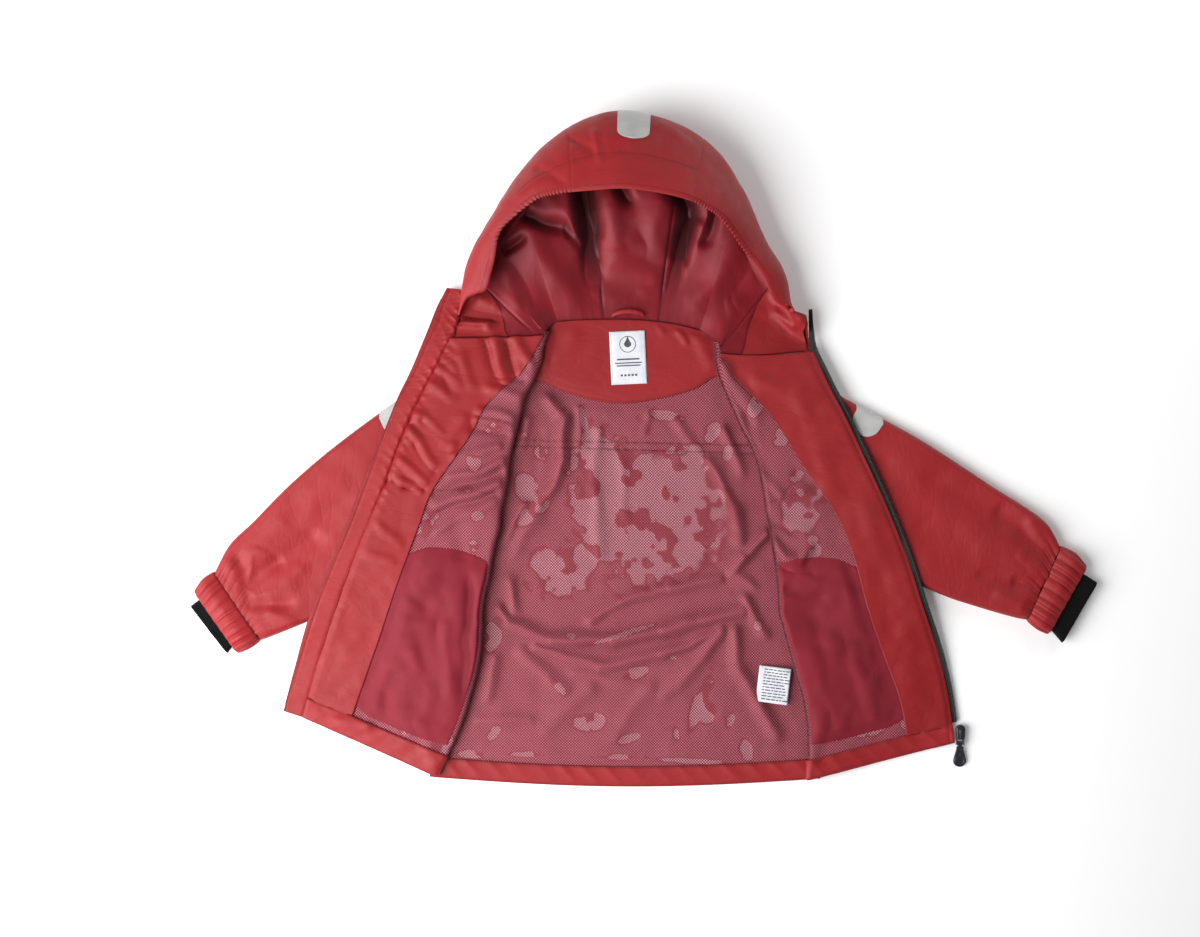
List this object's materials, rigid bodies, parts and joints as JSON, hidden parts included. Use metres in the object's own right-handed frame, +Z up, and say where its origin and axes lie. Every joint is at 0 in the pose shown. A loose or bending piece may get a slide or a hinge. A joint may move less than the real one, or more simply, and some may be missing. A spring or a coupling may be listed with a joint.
{
  "type": "kids rain jacket",
  "caption": "Child's hooded rain jacket laid open on its back, fronts folded out, with mesh lining, storm flap, zip and ribbed elastic cuffs.",
  "frame": {"origin": "on the floor under the back, on its centre line, about 172 mm below the back of the neck seam", "axes": "+X across the jacket towards the sleeve with the zip chain beside it, +Y from the hem to the hood, +Z up from the floor"},
  "size_m": [1.0369, 0.7669, 0.1006],
  "materials": {
    "shell": "plain woven, coated, dull sheen",
    "mesh": "knitted net",
    "knit": "fine matt knit",
    "satin": "smooth lining with a sheen",
    "rib": "ribbed knit",
    "zip": "coil zip on woven tape",
    "metal": "dark, half-gloss",
    "reflector": "reflective film",
    "label": "smooth woven ribbon"
  },
  "bodies": {
    "jacket": {"back_hem_band": "shell", "back_lining": "mesh", "back_neck_facing": "shell", "back_shell": "shell", "care_label": "label", "cuff_left": "shell", "cuff_right": "shell", "front_facing_left": "shell", "front_facing_right": "shell", "front_hem_band_left": "shell", "front_hem_band_right": "shell", "front_lining_left": "mesh", "front_lining_right": "mesh", "front_shell_left": "shell", "front_shell_right": "shell", "hanger_loop": "shell", "hood_casing": "shell", "hood_centre": "shell", "hood_facing_left": "shell", "hood_facing_right": "shell", "hood_lining_centre": "satin", "hood_lining_left": "satin", "hood_lining_right": "satin", "hood_side_left": "shell", "hood_side_right": "shell", "neck_label": "label", "pocket_bag_left": "knit", "pocket_bag_right": "knit", "reflector_hood": "reflector", "reflector_sleeve_left": "reflector", "reflector_sleeve_right": "reflector", "rib_cuff_left": "rib", "rib_cuff_right": "rib", "sleeve_left": "shell", "sleeve_right": "shell", "storm_flap": "shell", "zip_chain_right": "zip", "zip_slider": "metal", "zip_tape_left": "zip", "zip_tape_right": "zip"},
    "pull_tab": {"zip_pull_tab": "metal"}
  },
  "joints": [
    {"name": "pull_tab_hinge", "type": "hinge", "parent": "jacket", "child": "pull_tab", "pos_m": [0.3842, -0.3125, 0.0052], "axis": [-1, 0, 0], "range_deg": [0, 120]}
  ]
}
